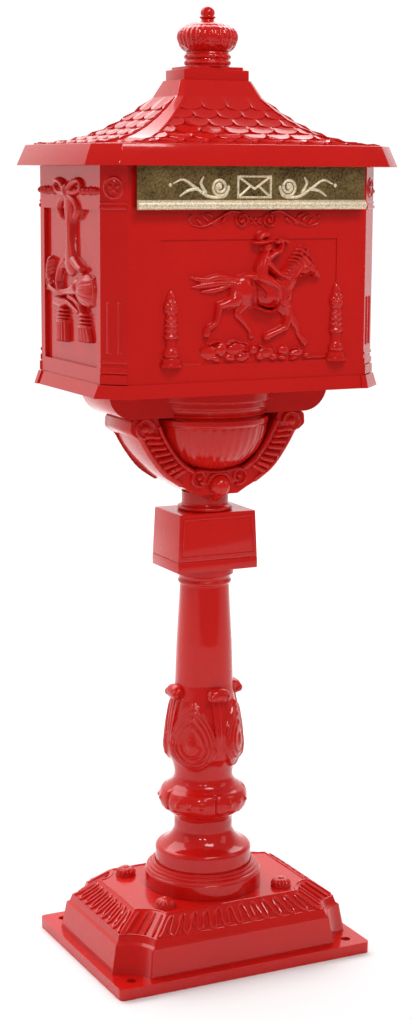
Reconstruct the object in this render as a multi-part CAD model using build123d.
from build123d import *

import math
import os

# Cast pedestal mailbox. Millimetres, +Z up, front faces -Y, +X to the right.
# The origin is the middle of the base plate's underside.

# Base
PLATE_X, PLATE_Y, PLATE_T = 171.2, 129.5, 14.3
PLATE_CORNER_R = 6.0
ANCHOR_X, ANCHOR_Y, ANCHOR_R = 148.0, 108.8, 6.0
PEDESTAL_TOP = 79.3
SKIN = 6.3
ROSETTE_X, ROSETTE_Y, ROSETTE_R, ROSETTE_H = 80.5, 60.0, 13.0, 12.0
ROSETTE_STUD_R = 3.0

# Column and cradle levels
COLLAR_R = 73.3
FOOT_R, FOOT_FLOOR = 60.3, 101.0
SLAB_X, SLAB_Y = 53.7, 38.6
SLAB_BOTTOM, SLAB_TOP = 488.7, 502.3
BLOCK_TOP = 560.2
NECK_R, NECK_TOP = 28.9, 583.0
YOKE_HALF_Y = 37.0
BOWL_FLOOR, BOWL_RIM = 613.5, 677.0
SADDLE_BOTTOM, SADDLE_TOP = 680.0, 714.0
SADDLE_HALF_Y, SADDLE_WALL = 42.0, 7.0
DRUM_R, DRUM_INNER_R = 81.2, 64.0

# Tie rod
ROD_R, ROD_HOLE_R = 6.0, 6.5
WASHER_R, WASHER_T = 14.0, 2.5
NUT_R, NUT_T = 10.5, 10.0

# Box
TRAY_FLOOR_T = 5.0
TRAY_TOP = 729.5
BOX_X, BOX_Y, BOX_CORNER = 177.5, 114.0, 23.5
WALL = 4.0
WALL_TOP = 993.0
RECESS = 1.5
SIDE_RECESS, SIDE_BACK = 4.6, 7.6
RIM_STEP = 1.8

# Roof
BRIM_Z = 974.3
FASCIA_TOP = 998.5
ROOF_TOP = 1073.6
BRIM_X, BRIM_Y, BRIM_CORNER = 202.0, 134.0, 29.0

# Mail slot and flap
SLOT_X, SLOT_LOW, SLOT_HIGH = 130.0, 938.0, 968.0
FLAP_X, FLAP_LOW = 146.0, 926.0
FLAP_FRONT, FLAP_T = -123.0, 3.0
FLAP_AXIS_Y, FLAP_AXIS_Z = -117.8, 978.5
FLAP_ROD_R, FLAP_BARREL_R = 1.8, 3.4
RUNNING = 0.05

# Retrieval door, hinged at its right edge as seen from the front
DOOR_X, DOOR_LOW, DOOR_HIGH = 112.0, 744.0, 934.0
DOOR_GAP, DOOR_T = 0.5, 4.0
DOOR_OPENING_X, DOOR_OPENING_LOW, DOOR_OPENING_HIGH = 100.0, 757.0, 921.0
HINGE_X, HINGE_Y, HINGE_PIN_R, HINGE_BARREL_R = 119.0, 119.5, 2.5, 5.0
HINGE_LEVELS = (785.0, 893.0)
KNUCKLE_HALF, LUG_T = 10.0, 8.0
LOCK_X, LOCK_Z = -82.0, 839.0
LOCK_BODY_R, LOCK_BARREL_R = 9.0, 6.0
CAM_REACH, CAM_HALF = 30.0, 6.0

# Fasteners
SCREW_R, SCREW_HEAD_R, SCREW_HEAD_T = 2.0, 3.0, 2.4
BOLT_R, BOLT_HEAD_R, BOLT_HEAD_T = 4.0, 6.8, 5.0
TRAY_BOLT_X, TRAY_BOLT_Y = 75.0, 27.0
YOKE_BOLT_X, YOKE_BOLT_Y = 97.0, 20.0
ROOF_SCREW_X, ROOF_SCREW_Y, ROOF_SCREW_R = 145.0, 84.0, 2.5


def save(shape, node):
    export_step(shape, f"parts/{node}.step")


def block(x0, x1, y0, y1, z0, z1):
    """A box between two corners."""
    centre = ((x0 + x1) / 2, (y0 + y1) / 2, (z0 + z1) / 2)
    return Location(centre) * Box(abs(x1 - x0), abs(y1 - y0), abs(z1 - z0))


def post(x, y, z0, z1, radius):
    """An upright cylinder from z0 to z1."""
    return Location((x, y, (z0 + z1) / 2)) * Cylinder(radius, abs(z1 - z0))


def bar_x(x0, x1, y, z, radius):
    """A cylinder along X."""
    return Location(((x0 + x1) / 2, y, z), (0, 90, 0)) * Cylinder(radius, abs(x1 - x0))


def bar_y(x, y0, y1, z, radius):
    """A cylinder along Y."""
    return Location((x, (y0 + y1) / 2, z), (90, 0, 0)) * Cylinder(radius, abs(y1 - y0))


def hexagon(x, y, z0, z1, radius):
    """An upright hexagonal prism."""
    return Location((x, y, z0)) * extrude(RegularPolygon(radius, 6), z1 - z0)


def mirrored_four(x, y):
    return [(sx * x, sy * y) for sx in (-1, 1) for sy in (-1, 1)]


def octagon(half_x, half_y, corner, z):
    """A rectangle with cut corners, as a face at height z."""
    quarter = [(half_x, half_y - corner), (half_x - corner, half_y)]
    points = [*quarter]
    points += [(-x, y) for x, y in reversed(quarter)]
    points += [(-x, -y) for x, y in quarter]
    points += [(x, -y) for x, y in reversed(quarter)]
    return Location((0, 0, z)) * make_face(Polyline(*points, close=True))


def scooped(half_x, half_y, corner, z, depth=0.16):
    """A rectangle whose corners are scooped out by shallow arcs, as a face at height z."""
    edges = []
    for sx, sy in ((1, 1), (-1, 1), (-1, -1), (1, -1)):
        start = Vector(sx * half_x, sy * (half_y - corner))
        end = Vector(sx * (half_x - corner), sy * half_y)
        middle = (start + end) / 2 - Vector(sx, sy) * (corner * depth)
        arc = ThreePointArc(start, middle, end)
        edges.append(arc)
    sides = []
    corners = [(1, 1), (-1, 1), (-1, -1), (1, -1)]
    for index, (sx, sy) in enumerate(corners):
        nx, ny = corners[(index + 1) % 4]
        if sy == ny:
            sides.append(Line((sx * (half_x - corner), sy * half_y), (nx * (half_x - corner), sy * half_y)))
        else:
            sides.append(Line((sx * half_x, sy * (half_y - corner)), (sx * half_x, ny * (half_y - corner))))
    return Location((0, 0, z)) * make_face(edges + sides)


def stack(section, levels):
    """A closed body through sections (half_x, half_y, corner, z), straight between levels."""
    return loft([section(*level) for level in levels], ruled=True)


def turned(start, *path):
    """A solid of revolution about Z.

    The outline starts at (radius, z); each further step is an end point for a straight run,
    or a pair of a middle point and an end point for an arc. It closes along the axis.
    """
    edges = []
    here = start
    for step in path:
        if isinstance(step[0], tuple):
            middle, end = step
            edges.append(ThreePointArc(here, middle, end))
        else:
            end = step
            edges.append(Line(here, end))
        here = end
    edges.append(Line(here, (0, here[1])))
    edges.append(Line((0, here[1]), (0, start[1])))
    edges.append(Line((0, start[1]), start))
    return revolve(Plane.XZ * make_face(edges), Axis.Z)


def profile_xz(edges, half_y):
    """A prism along Y whose outline lies in the XZ plane."""
    return extrude(Plane.XZ * make_face(edges), half_y, both=True)


# ---------------------------------------------------------------- base

PEDESTAL = [
    (161.5, 117.3, 36.0, PLATE_T - 1.0),
    (155.0, 112.5, 34.0, 49.0),
    (151.5, 109.5, 33.5, 51.5),
    (149.3, 107.4, 33.3, 58.6),
    (120.2, 85.1, 29.2, PEDESTAL_TOP),
]
PEDESTAL_HOLLOW = [
    (152.0, 108.0, 42.0, -1.0),
    (147.0, 104.0, 40.0, 44.0),
    (142.0, 100.0, 38.0, 53.0),
    (112.0, 78.0, 31.0, PEDESTAL_TOP - SKIN),
]


def base_casting():
    plate = extrude(RectangleRounded(2 * PLATE_X, 2 * PLATE_Y, PLATE_CORNER_R), PLATE_T)
    body = plate + stack(scooped, PEDESTAL) - stack(octagon, PEDESTAL_HOLLOW)
    for x, y in mirrored_four(ANCHOR_X, ANCHOR_Y):
        body -= post(x, y, -1, PLATE_T + 1, ANCHOR_R)
    for x, y in mirrored_four(ROSETTE_X, ROSETTE_Y):
        body -= post(x, y, PEDESTAL_TOP - SKIN - 1, PEDESTAL_TOP + 1, ROSETTE_STUD_R)
    return body - post(0, 0, PEDESTAL_TOP - SKIN - 1, PEDESTAL_TOP + 1, ROD_HOLE_R)


def rosette_caps():
    dome = turned(
        (ROSETTE_STUD_R, PEDESTAL_TOP - SKIN + 0.5),
        (ROSETTE_STUD_R, PEDESTAL_TOP),
        (ROSETTE_R, PEDESTAL_TOP),
        (ROSETTE_R, PEDESTAL_TOP + 3.0),
        ((ROSETTE_R * 0.75, PEDESTAL_TOP + ROSETTE_H * 0.8), (3.0, PEDESTAL_TOP + ROSETTE_H)),
    )
    return Compound([Location((x, y, 0)) * dome for x, y in mirrored_four(ROSETTE_X, ROSETTE_Y)])


def base_collar():
    ring = turned(
        (COLLAR_R, PEDESTAL_TOP),
        (COLLAR_R, 97.0),
        (71.7, 99.0),
        (71.7, 102.5),
        (68.0, 102.5),
        (68.0, 106.0),
        (64.3, 106.0),
        (64.3, 109.5),
    )
    ring -= post(0, 0, FOOT_FLOOR, 111.0, FOOT_R + 0.4)
    ring -= post(0, 0, PEDESTAL_TOP - 1, FOOT_FLOOR - SKIN, 65.0)
    return ring - post(0, 0, PEDESTAL_TOP, FOOT_FLOOR + 1, ROD_HOLE_R)


# ---------------------------------------------------------------- column and capital

COLUMN_BORE_R = 24.5


def column_casting():
    shaft = turned(
        (FOOT_R, FOOT_FLOOR),
        (FOOT_R, 124.5),
        ((59.6, 128.5), (57.0, 131.6)),
        ((43.5, 140.0), (36.6, 152.0)),
        (36.6, 163.5),
        ((38.0, 169.5), (42.0, 174.0)),
        ((53.6, 192.5), (43.0, 211.0)),
        ((38.3, 216.5), (36.6, 224.0)),
        ((39.6, 238.5), (46.4, 250.0)),
        ((47.8, 260.0), (47.2, 270.0)),
        ((44.2, 294.0), (38.8, 322.0)),
        (36.3, 342.0),
        (34.6, 393.0),
        (31.7, 444.0),
        (30.5, 467.0),
        (32.4, 468.5),
        (32.4, 473.5),
        ((33.3, 477.6), (36.0, 480.5)),
        (36.0, SLAB_BOTTOM + 1),
    )
    slab = block(-SLAB_X, SLAB_X, -SLAB_Y, SLAB_Y, SLAB_BOTTOM, SLAB_TOP)
    body = shaft + slab - post(0, 0, FOOT_FLOOR - 1, SLAB_TOP - SKIN, COLUMN_BORE_R)
    return body - post(0, 0, SLAB_BOTTOM, SLAB_TOP + 1, ROD_HOLE_R)


def capital_block():
    body = stack(octagon, [(SLAB_X, SLAB_Y, 1.2, SLAB_TOP), (50.8, 37.3, 1.2, BLOCK_TOP)])
    body += turned(
        (32.0, BLOCK_TOP - 1),
        (32.0, BLOCK_TOP),
        ((34.2, BLOCK_TOP + 2.8), (32.0, BLOCK_TOP + 5.6)),
        ((29.6, BLOCK_TOP + 7.0), (NECK_R, BLOCK_TOP + 10.0)),
        (NECK_R, NECK_TOP),
    )
    body -= block(-46, 46, -31, 31, SLAB_TOP - 1, BLOCK_TOP - SKIN)
    return body - post(0, 0, SLAB_TOP, NECK_TOP + 1, ROD_HOLE_R)


# ---------------------------------------------------------------- cradle


def bowl_outside():
    return turned(
        (37.0, BOWL_FLOOR),
        ((66.4, 639.0), (75.3, 668.0)),
        (77.4, 671.0),
        (77.4, BOWL_RIM - 0.6),
        (76.4, BOWL_RIM),
    )


def cradle_yoke():
    """A crescent whose two ends carry the saddle and whose middle seats the bowl."""
    top, foot = SADDLE_BOTTOM, NECK_TOP
    edges = []
    for side in (-1, 1):
        edges.append(ThreePointArc((side * 112, top), (side * 93, 637), (side * 50, 596)))
        edges.append(ThreePointArc((side * 50, 596), (side * 38.5, 590.2), (side * 26, foot)))
        edges.append(Line((side * 112, top), (side * 81, top)))
        edges.append(ThreePointArc((side * 81, top), (side * 61, 640), (side * 32, BOWL_FLOOR)))
    edges.append(Line((-26, foot), (26, foot)))
    edges.append(Line((-32, BOWL_FLOOR), (32, BOWL_FLOOR)))
    body = profile_xz(edges, YOKE_HALF_Y) - bowl_outside()
    for x, y in mirrored_four(YOKE_BOLT_X, YOKE_BOLT_Y):
        body -= post(x, y, 664, top + 1, BOLT_R)
    return body - post(0, 0, foot - 1, BOWL_FLOOR + 1, ROD_HOLE_R)


def cradle_bowl():
    inner = turned(
        (30.0, BOWL_FLOOR + 8),
        ((56.0, 643.0), (DRUM_INNER_R, 666.0)),
        (DRUM_INNER_R, BOWL_RIM + 1),
    )
    return bowl_outside() - inner - post(0, 0, BOWL_FLOOR - 1, BOWL_FLOOR + 9, ROD_HOLE_R)


def saddle_slab(half_x, end_x, low, half_y, high):
    """A slab along X whose two ends curve down like a boat's bow."""
    rise = high - low
    edges = []
    for side in (-1, 1):
        tip = (side * half_x, high - 2)
        knee = (side * (end_x + (half_x - end_x) * 0.71), low + rise * 0.28)
        edges.append(Line((side * half_x, high), tip))
        edges.append(ThreePointArc(tip, knee, (side * end_x, low)))
    edges.append(Line((-end_x, low), (end_x, low)))
    edges.append(Line((-half_x, high), (half_x, high)))
    return profile_xz(edges, half_y)


def cradle_saddle():
    body = saddle_slab(146, 114, SADDLE_BOTTOM, SADDLE_HALF_Y, SADDLE_TOP)
    pocket_low = SADDLE_BOTTOM + SADDLE_WALL
    body -= saddle_slab(139, 111, pocket_low, SADDLE_HALF_Y - SADDLE_WALL, SADDLE_TOP + 1)
    body += turned(
        (71.6, BOWL_RIM),
        (71.6, 678.4),
        (75.7, 681.5),
        ((73.6, 686.0), (77.3, 690.5)),
        (77.3, 697.0),
        (DRUM_R, 698.6),
        (DRUM_R, SADDLE_TOP),
    )
    for x, y in mirrored_four(TRAY_BOLT_X, TRAY_BOLT_Y):
        body += post(x, y, pocket_low - 1, SADDLE_TOP, 9.5)
        body -= post(x, y, 692, SADDLE_TOP + 1, BOLT_R)
    body -= post(0, 0, BOWL_RIM - 1, SADDLE_TOP + 1, DRUM_INNER_R)
    for x, y in mirrored_four(YOKE_BOLT_X, YOKE_BOLT_Y):
        body -= post(x, y, SADDLE_BOTTOM - 1, pocket_low + 1, BOLT_R + 0.3)
    return body


# ---------------------------------------------------------------- box

MITRE = WALL * math.tan(math.radians(22.5))
CORNER_X = BOX_X - BOX_CORNER
CORNER_Y = BOX_Y - BOX_CORNER
INNER_X = BOX_X - WALL
INNER_Y = BOX_Y - WALL
INNER_CORNER = INNER_X - (CORNER_X - MITRE)


def wall_prism(points, z0=TRAY_TOP, z1=WALL_TOP):
    return Location((0, 0, z0)) * extrude(make_face(Polyline(*points, close=True)), z1 - z0)


def tray_rim(step):
    low = (187.0 - step, 121.5 - step, 30.0, SADDLE_TOP)
    return stack(octagon, [low, (181.0 - step, 117.5 - step, 25.0, TRAY_TOP)])


def floor_tray():
    """A sloping rim with a floor; its four corners stand a step prouder than its sides."""
    middle = block(-149, 149, -200, 200, SADDLE_TOP - 1, TRAY_TOP + 1)
    middle += block(-200, 200, -83.5, 83.5, SADDLE_TOP - 1, TRAY_TOP + 1)
    rim = tray_rim(RIM_STEP) + (tray_rim(0) - middle)
    floor_top = SADDLE_TOP + TRAY_FLOOR_T
    body = rim - stack(octagon, [(INNER_X, INNER_Y, INNER_CORNER, z) for z in (floor_top, TRAY_TOP + 1)])
    for x, y in mirrored_four(TRAY_BOLT_X, TRAY_BOLT_Y):
        body -= post(x, y, SADDLE_TOP - 1, floor_top + 1, BOLT_R + 0.3)
    for x, y in mirrored_four(ROOF_SCREW_X, ROOF_SCREW_Y):
        body -= post(x, y, SADDLE_TOP + 1, floor_top + 1, ROOF_SCREW_R)
    return body


def long_wall(side):
    """Front (-1) or rear (+1) wall, mitred to the pilasters."""
    points = [
        (-CORNER_X, side * BOX_Y),
        (CORNER_X, side * BOX_Y),
        (CORNER_X - MITRE, side * INNER_Y),
        (-CORNER_X + MITRE, side * INNER_Y),
    ]
    return wall_prism(points)


def short_wall(side):
    """Left (-1) or right (+1) wall, mitred to the pilasters."""
    points = [
        (side * BOX_X, -CORNER_Y),
        (side * BOX_X, CORNER_Y),
        (side * INNER_X, CORNER_Y - MITRE),
        (side * INNER_X, -CORNER_Y + MITRE),
    ]
    return wall_prism(points)


def pilaster(side_x, side_y):
    points = [
        (side_x * CORNER_X, side_y * BOX_Y),
        (side_x * BOX_X, side_y * CORNER_Y),
        (side_x * INNER_X, side_y * (CORNER_Y - MITRE)),
        (side_x * (CORNER_X - MITRE), side_y * INNER_Y),
    ]
    return wall_prism(points)


BRACKET_T = 3.0
BRACKET_LEG, BRACKET_SIDE_LEG = 14.0, 7.6
BRACKET_LOW = SADDLE_TOP + TRAY_FLOOR_T
BRACKET_HIGH = 985.0
BRACKET_SCREW_LEVELS = (765.0, 955.0)
BRACKET_SCREW_X = CORNER_X - MITRE - BRACKET_LEG / 2
BRACKET_SCREW_Y = CORNER_Y - MITRE - 4.4


def corner_bracket():
    """The bent strip inside the +X +Y corner, with a foot tab and a roof tab."""
    seam = BRACKET_T * math.tan(math.radians(22.5))
    outer = [
        (CORNER_X - MITRE - BRACKET_LEG, INNER_Y),
        (CORNER_X - MITRE, INNER_Y),
        (INNER_X, CORNER_Y - MITRE),
        (INNER_X, CORNER_Y - MITRE - BRACKET_SIDE_LEG),
    ]
    inner = [
        (INNER_X - BRACKET_T, CORNER_Y - MITRE - BRACKET_SIDE_LEG),
        (INNER_X - BRACKET_T, CORNER_Y - MITRE - seam),
        (CORNER_X - MITRE - seam, INNER_Y - BRACKET_T),
        (CORNER_X - MITRE - BRACKET_LEG, INNER_Y - BRACKET_T),
    ]
    strip = wall_prism(outer + inner, BRACKET_LOW, BRACKET_HIGH)
    tab = [outer[0], outer[1], outer[2], outer[3], (ROOF_SCREW_X - 9, ROOF_SCREW_Y - 9)]
    body = strip
    for low in (BRACKET_LOW, BRACKET_HIGH - BRACKET_T):
        body += wall_prism(tab, low, low + BRACKET_T)
        body -= post(ROOF_SCREW_X, ROOF_SCREW_Y, low - 1, low + BRACKET_T + 1, ROOF_SCREW_R + 0.3)
    for z in BRACKET_SCREW_LEVELS:
        body -= bar_y(BRACKET_SCREW_X, INNER_Y - BRACKET_T - 1, INNER_Y + 1, z, SCREW_R)
        body -= bar_x(INNER_X - BRACKET_T - 1, INNER_X + 1, BRACKET_SCREW_Y, z, SCREW_R)
    return body


def in_each_corner(shape):
    """The shape of the +X +Y corner, and its mirror images in the other three."""
    right = [shape, mirror(shape, Plane.XZ)]
    left = [mirror(item, Plane.YZ) for item in right]
    return Compound(right + left)


SCREW_BITE = WALL - 0.8


def wall_screw_pair():
    """For one level of the +X +Y corner: a screw into the long wall and one into the short wall."""
    screws = []
    for z in BRACKET_SCREW_LEVELS:
        face_y = INNER_Y - BRACKET_T
        face_x = INNER_X - BRACKET_T
        along_y = bar_y(BRACKET_SCREW_X, face_y, INNER_Y + SCREW_BITE, z, SCREW_R)
        along_x = bar_x(face_x, INNER_X + SCREW_BITE, BRACKET_SCREW_Y, z, SCREW_R)
        screws.append(along_y + bar_y(BRACKET_SCREW_X, face_y - SCREW_HEAD_T, face_y, z, SCREW_HEAD_R))
        screws.append(along_x + bar_x(face_x - SCREW_HEAD_T, face_x, BRACKET_SCREW_Y, z, SCREW_HEAD_R))
    return screws


def wall_screw_holes(body):
    """Blind holes in a wall for the bracket screws of all four corners."""
    for z in BRACKET_SCREW_LEVELS:
        for side in (-1, 1):
            for x in (-BRACKET_SCREW_X, BRACKET_SCREW_X):
                body -= bar_y(x, side * (INNER_Y - 1), side * (INNER_Y + SCREW_BITE), z, SCREW_R)
            for y in (-BRACKET_SCREW_Y, BRACKET_SCREW_Y):
                body -= bar_x(side * (INNER_X - 1), side * (INNER_X + SCREW_BITE), y, z, SCREW_R)
    return body


def front_panel():
    body = long_wall(-1)
    body -= block(-SLOT_X, SLOT_X, -BOX_Y - 1, -INNER_Y + 1, SLOT_LOW, SLOT_HIGH)
    body -= block(-115, 115, -BOX_Y - 1, -BOX_Y + RECESS, 750, 892)
    return wall_screw_holes(body)


def side_panel(side):
    """A wall with a deep recess, its back thickened inwards behind the recess."""
    body = short_wall(side)
    body += block(side * (BOX_X - SIDE_BACK), side * (BOX_X - 1), -80.8, 80.8, 745, 927)
    body -= block(side * (BOX_X - SIDE_RECESS), side * (BOX_X + 1), -79, 79, 747, 925)
    return wall_screw_holes(body)


def rear_panel():
    body = long_wall(1)
    span_x = DOOR_OPENING_X
    body -= block(-span_x, span_x, INNER_Y - 1, BOX_Y + 1, DOOR_OPENING_LOW, DOOR_OPENING_HIGH)
    return wall_screw_holes(body)


# ---------------------------------------------------------------- roof

SLOPE_HALF_X = (184.0, 165.0, 145.0, 125.0, 105.0, 90.0, 75.0, 62.0, 55.6)
SLOPE_TOP_X, SLOPE_TOP_Y, SLOPE_TOP_Z = 55.6, 40.2, 1054.5
SLOPE_FOOT_X, SLOPE_FOOT_Z = 192.0, FASCIA_TOP
SLOPE_POWER = 2.3
ROOF_SKIN = 6.0


def slope_height(half_x):
    """The concave pagoda curve: steep at the top, nearly level at the brim."""
    run = (SLOPE_FOOT_X - half_x) / (SLOPE_FOOT_X - SLOPE_TOP_X)
    return SLOPE_FOOT_Z + (SLOPE_TOP_Z - SLOPE_FOOT_Z) * run**SLOPE_POWER


def roof_depth(half_x):
    """Half depth of the roof where its half width is half_x."""
    return SLOPE_TOP_Y + 0.636 * (half_x - SLOPE_TOP_X)


def roof_corner(half_x):
    return 6.0 + 0.157 * (half_x - SLOPE_TOP_X)


def roof_section(half_x, inset=0.0, drop=0.0):
    corner = roof_corner(half_x)
    return (half_x - inset, roof_depth(half_x) - inset, corner, slope_height(half_x) - drop)


def roof_shell():
    outer = [(BRIM_X, BRIM_Y, BRIM_CORNER, BRIM_Z)]
    outer.append((SLOPE_FOOT_X, roof_depth(SLOPE_FOOT_X), 27.0, FASCIA_TOP))
    outer += [roof_section(x) for x in SLOPE_HALF_X]
    outer.append((46.5, 28.6, 5.0, ROOF_TOP))
    shell = stack(octagon, outer)
    eaves = [(199.0, 131.0, 28.0, BRIM_Z - 0.01), (188.0, 122.0, 26.0, WALL_TOP)]
    shell -= stack(octagon, eaves)
    cavity = [(166.0, 104.0, 22.0, WALL_TOP - 1), (158.0, 100.0, 21.0, WALL_TOP + 1.5)]
    cavity += [roof_section(x, ROOF_SKIN, ROOF_SKIN) for x in SLOPE_HALF_X[2:]]
    cavity.append((40.0, 22.0, 4.0, ROOF_TOP - ROOF_SKIN))
    shell -= stack(octagon, cavity)
    for x, y in mirrored_four(ROOF_SCREW_X, ROOF_SCREW_Y):
        shell += post(x, y, BRACKET_HIGH, WALL_TOP + 5.5, 7.0)
        shell -= post(x, y, BRACKET_HIGH - 1, WALL_TOP + 2, ROOF_SCREW_R)
    return shell - post(0, 0, ROOF_TOP - ROOF_SKIN - 1, ROOF_TOP + 1, BOLT_R + 0.3)


PLINTH_TOP, CROWN_FOOT, CROWN_TOP = 1085.9, 1089.5, 1160.0


def finial_plinth():
    body = block(-42.6, 42.6, -26, 26, ROOF_TOP, PLINTH_TOP)
    body += block(-36, 36, -24, 24, PLINTH_TOP, CROWN_FOOT)
    return body - post(0, 0, ROOF_TOP - 1, CROWN_FOOT + 1, BOLT_R + 0.3)


def finial_crown():
    body = turned(
        (26.0, CROWN_FOOT),
        (26.0, 1092.0),
        ((27.9, 1094.6), (26.0, 1097.0)),
        (25.7, 1098.3),
        ((27.9, 1101.5), (26.0, 1104.5)),
        (25.4, 1107.3),
        ((30.5, 1110.5), (34.2, 1118.0)),
        ((34.6, 1130.0), (27.5, 1136.0)),
        ((19.5, 1139.0), (9.0, 1141.0)),
        ((7.0, 1143.0), (7.6, 1145.5)),
        ((8.3, 1149.0), (6.6, 1153.5)),
        ((4.2, 1158.0), (0.6, CROWN_TOP)),
    )
    return body - post(0, 0, CROWN_FOOT - 1, 1125, BOLT_R)


# ---------------------------------------------------------------- mail flap


def mail_flap():
    back = FLAP_FRONT + FLAP_T
    plate = block(-FLAP_X, FLAP_X, FLAP_FRONT, back, FLAP_LOW, FLAP_AXIS_Z)
    lip_edges = [
        Line((back, FLAP_LOW), (-124.5, FLAP_LOW)),
        ThreePointArc((-124.5, FLAP_LOW), (-127.6, FLAP_LOW + 4), (-126.0, FLAP_LOW + 8)),
        ThreePointArc((-126.0, FLAP_LOW + 8), (-124.2, FLAP_LOW + 9.4), (FLAP_FRONT, FLAP_LOW + 10)),
        Line((FLAP_FRONT, FLAP_LOW + 10), (back, FLAP_LOW + 10)),
        Line((back, FLAP_LOW + 10), (back, FLAP_LOW)),
    ]
    lip = extrude(Plane.YZ * make_face(lip_edges), FLAP_X, both=True)
    sill = block(-FLAP_X, FLAP_X, back - 1, -BOX_Y - 0.8, FLAP_LOW, FLAP_LOW + 2.5)
    barrel = bar_x(-FLAP_X, FLAP_X, FLAP_AXIS_Y, FLAP_AXIS_Z, FLAP_BARREL_R)
    body = plate + lip + sill + barrel
    return body - bar_x(-FLAP_X - 1, FLAP_X + 1, FLAP_AXIS_Y, FLAP_AXIS_Z, FLAP_ROD_R + RUNNING)


EAR_GAP, EAR_T = 0.6, 4.0


def flap_ears():
    """Two ears on the front panel that hold the ends of the hinge rod."""
    ears = []
    for side in (-1, 1):
        near = side * (FLAP_X + EAR_GAP)
        far = side * (FLAP_X + EAR_GAP + EAR_T)
        ear = block(near, far, FLAP_AXIS_Y - 3.6, -BOX_Y, FLAP_AXIS_Z - 4, FLAP_AXIS_Z + 4)
        ears.append(ear - bar_x(near - side, far + side, FLAP_AXIS_Y, FLAP_AXIS_Z, FLAP_ROD_R))
    return Compound(ears)


def flap_rod():
    reach = FLAP_X + EAR_GAP + EAR_T
    return bar_x(-reach, reach, FLAP_AXIS_Y, FLAP_AXIS_Z, FLAP_ROD_R)


# ---------------------------------------------------------------- retrieval door and lock

DOOR_INNER = BOX_Y + DOOR_GAP
DOOR_OUTER = DOOR_INNER + DOOR_T


def retrieval_door():
    body = block(-DOOR_X, DOOR_X, DOOR_INNER, DOOR_OUTER, DOOR_LOW, DOOR_HIGH)
    body -= block(-88, 88, DOOR_OUTER - RECESS, DOOR_OUTER + 1, 768, 820)
    body -= block(-88, 88, DOOR_OUTER - RECESS, DOOR_OUTER + 1, 858, 910)
    body -= bar_y(LOCK_X, DOOR_INNER - 1, DOOR_OUTER + 1, LOCK_Z, LOCK_BODY_R)
    for level in HINGE_LEVELS:
        low, high = level - KNUCKLE_HALF, level + KNUCKLE_HALF
        body += block(DOOR_X - 4, HINGE_X, DOOR_INNER, DOOR_OUTER, low, high)
        body += post(HINGE_X, HINGE_Y, low, high, HINGE_BARREL_R)
        body -= post(HINGE_X, HINGE_Y, low - 1, high + 1, HINGE_PIN_R + RUNNING)
    return body


LUG_GAP = 0.4


def hinge_lugs():
    """Lugs on the rear panel, one above and one below each knuckle of the door."""
    lugs = []
    for level in HINGE_LEVELS:
        for side in (-1, 1):
            near = level + side * (KNUCKLE_HALF + LUG_GAP)
            far = near + side * LUG_T
            low, high = min(near, far), max(near, far)
            lug = block(HINGE_X - 5, HINGE_X + 7, BOX_Y, HINGE_Y, low, high)
            lug += post(HINGE_X, HINGE_Y, low, high, HINGE_BARREL_R)
            lugs.append(lug - post(HINGE_X, HINGE_Y, low - 1, high + 1, HINGE_PIN_R))
    return Compound(lugs)


def hinge_pins():
    reach = KNUCKLE_HALF + LUG_GAP + LUG_T
    pins = []
    for level in HINGE_LEVELS:
        pin = post(HINGE_X, HINGE_Y, level - reach, level + reach, HINGE_PIN_R)
        pins.append(pin + post(HINGE_X, HINGE_Y, level + reach, level + reach + 2.5, 4.2))
    return Compound(pins)


LOCK_FLANGE_R, LOCK_FLANGE_T = 11.5, 2.0
LOCK_INNER = 109.6
CAM_NEAR, CAM_FAR = 109.0, 106.5
CAM_POST_R = 4.0


def lock_body():
    outer = DOOR_OUTER + LOCK_FLANGE_T
    body = bar_y(LOCK_X, DOOR_OUTER, outer, LOCK_Z, LOCK_FLANGE_R)
    body += bar_y(LOCK_X, LOCK_INNER, DOOR_OUTER, LOCK_Z, LOCK_BODY_R)
    return body - bar_y(LOCK_X, LOCK_INNER - 1, outer + 1, LOCK_Z, LOCK_BARREL_R + RUNNING)


def lock_nut():
    face = Location((LOCK_X, DOOR_INNER, LOCK_Z), (90, 0, 0)) * RegularPolygon(12.5, 6)
    return extrude(face, 3.4) - bar_y(LOCK_X, DOOR_INNER - 5, DOOR_INNER + 1, LOCK_Z, LOCK_BODY_R)


def lock_barrel():
    outer = DOOR_OUTER + LOCK_FLANGE_T - 0.3
    body = bar_y(LOCK_X, LOCK_INNER - 0.6, outer, LOCK_Z, LOCK_BARREL_R)
    body -= block(LOCK_X - 0.6, LOCK_X + 0.6, outer - 8, outer + 1, LOCK_Z - 3.4, LOCK_Z + 3.4)
    return body + bar_y(LOCK_X, CAM_FAR, LOCK_INNER - 0.6, LOCK_Z, CAM_POST_R)


def lock_cam():
    """The cam hangs down when the lock is open and turns to point at the hidden edge."""
    body = bar_y(LOCK_X, CAM_FAR, CAM_NEAR, LOCK_Z, CAM_HALF + 2)
    body += block(LOCK_X - CAM_HALF, LOCK_X + CAM_HALF, CAM_FAR, CAM_NEAR, LOCK_Z - CAM_REACH, LOCK_Z)
    return body - bar_y(LOCK_X, CAM_FAR - 1, CAM_NEAR + 1, LOCK_Z, CAM_POST_R)


def cam_screw():
    return bar_y(LOCK_X, CAM_FAR - 3, CAM_FAR, LOCK_Z, 5.5)


# ---------------------------------------------------------------- fasteners


def tie_rod():
    low = PEDESTAL_TOP - SKIN - WASHER_T - NUT_T - 6
    high = BOWL_FLOOR + 8 + WASHER_T + NUT_T + 5
    return post(0, 0, low, high, ROD_R)


ROD_ENDS = {"lower": (PEDESTAL_TOP - SKIN, -1), "upper": (BOWL_FLOOR + 8, 1)}


def rod_washer(seat, side):
    low, high = sorted((seat, seat + side * WASHER_T))
    return post(0, 0, low, high, WASHER_R) - post(0, 0, low - 1, high + 1, ROD_R)


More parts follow.
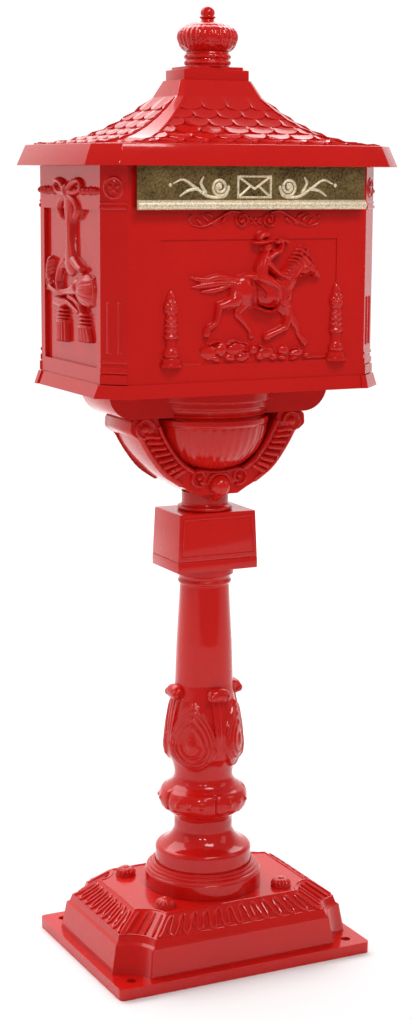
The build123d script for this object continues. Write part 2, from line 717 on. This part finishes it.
def rod_nut(seat, side):
    low, high = sorted((seat + side * WASHER_T, seat + side * (WASHER_T + NUT_T)))
    return hexagon(0, 0, low, high, NUT_R) - post(0, 0, low - 1, high + 1, ROD_R)


def hex_bolts(x, y, seat, tip):
    """Four bolts with their heads on the seat, pointing down."""
    bolts = []
    for px, py in mirrored_four(x, y):
        bolts.append(hexagon(px, py, seat, seat + BOLT_HEAD_T, BOLT_HEAD_R) + post(px, py, tip, seat, BOLT_R))
    return Compound(bolts)


def pan_screws(seat, tip, head_side):
    """Four screws at the bracket tabs; head_side says which side of the seat the head is."""
    screws = []
    for x, y in mirrored_four(ROOF_SCREW_X, ROOF_SCREW_Y):
        head = post(x, y, seat, seat + head_side * 3.2, 4.6)
        screws.append(head + post(x, y, tip, seat, ROOF_SCREW_R))
    return Compound(screws)


def finial_bolt():
    seat = ROOF_TOP - ROOF_SKIN
    return hexagon(0, 0, seat - BOLT_HEAD_T, seat, BOLT_HEAD_R) + post(0, 0, seat, 1122, BOLT_R)


# ---------------------------------------------------------------- write every node

NODES = {
    "base_casting": base_casting(),
    "rosette_caps": rosette_caps(),
    "base_collar": base_collar(),
    "column_casting": column_casting(),
    "capital_block": capital_block(),
    "cradle_yoke": cradle_yoke(),
    "cradle_bowl": cradle_bowl(),
    "cradle_saddle": cradle_saddle(),
    "floor_tray": floor_tray(),
    "front_panel": front_panel(),
    "rear_panel": rear_panel(),
    "left_panel": side_panel(-1),
    "right_panel": side_panel(1),
    "corner_brackets": in_each_corner(corner_bracket()),
    "bracket_screws": Compound([in_each_corner(screw) for screw in wall_screw_pair()]),
    "bracket_foot_screws": pan_screws(BRACKET_LOW + BRACKET_T, SADDLE_TOP + 1, 1),
    "roof_screws": pan_screws(BRACKET_HIGH - BRACKET_T, WALL_TOP + 1.5, -1),
    "roof_shell": roof_shell(),
    "finial_plinth": finial_plinth(),
    "finial_crown": finial_crown(),
    "finial_bolt": finial_bolt(),
    "mail_flap": mail_flap(),
    "flap_ears": flap_ears(),
    "flap_rod": flap_rod(),
    "retrieval_door": retrieval_door(),
    "hinge_lugs": hinge_lugs(),
    "hinge_pins": hinge_pins(),
    "lock_body": lock_body(),
    "lock_nut": lock_nut(),
    "lock_barrel": lock_barrel(),
    "lock_cam": lock_cam(),
    "cam_screw": cam_screw(),
    "tie_rod": tie_rod(),
    "saddle_bolts": hex_bolts(YOKE_BOLT_X, YOKE_BOLT_Y, SADDLE_BOTTOM + SADDLE_WALL, 665),
    "tray_bolts": hex_bolts(TRAY_BOLT_X, TRAY_BOLT_Y, SADDLE_TOP + TRAY_FLOOR_T, 693),
}

for name_x, sign_x in (("left", -1), ("right", 1)):
    for name_y, sign_y in (("front", -1), ("rear", 1)):
        NODES[f"pilaster_{name_y}_{name_x}"] = pilaster(sign_x, sign_y)

for end, (rod_seat, rod_side) in ROD_ENDS.items():
    NODES[f"tie_rod_{end}_washer"] = rod_washer(rod_seat, rod_side)
    NODES[f"tie_rod_{end}_nut"] = rod_nut(rod_seat, rod_side)

for node_name, node_shape in NODES.items():
    save(node_shape, node_name)
